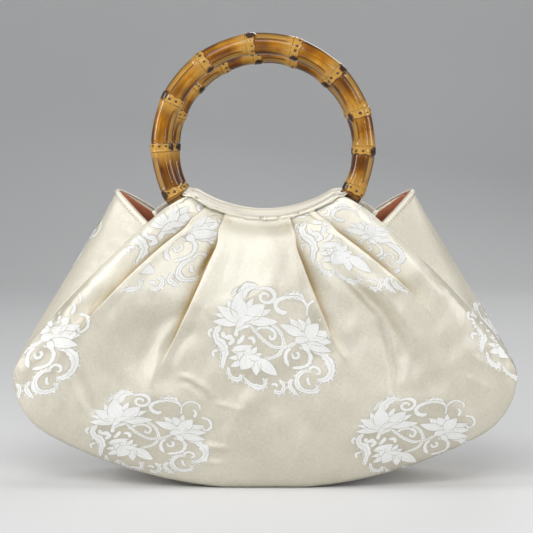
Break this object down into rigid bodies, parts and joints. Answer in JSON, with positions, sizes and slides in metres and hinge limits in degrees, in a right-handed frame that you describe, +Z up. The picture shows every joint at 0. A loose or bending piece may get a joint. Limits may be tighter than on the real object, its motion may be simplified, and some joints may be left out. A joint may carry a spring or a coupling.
{
  "type": "handbag",
  "caption": "Soft pleated silk brocade handbag that widens from a curved, gathered top to a rounded base, with a creased side gusset, satin lining and bamboo ring handles.",
  "frame": {"origin": "middle of the flattened base, on the surface that the bag stands on", "axes": "+Z up, +X to the right and -Y to the front, as seen by someone looking at the front panel"},
  "size_m": [0.318, 0.1042, 0.284],
  "materials": {
    "silk": "ivory satin brocade",
    "satin": "terracotta satin",
    "bamboo": "lacquered honey-brown bamboo"
  },
  "bodies": {
    "root": {"front_panel": "silk", "back_panel": "silk", "gusset": "silk", "front_casing": "silk", "back_casing": "silk", "lining": "satin", "front_ring": "bamboo", "back_ring": "bamboo"}
  },
  "joints": []
}
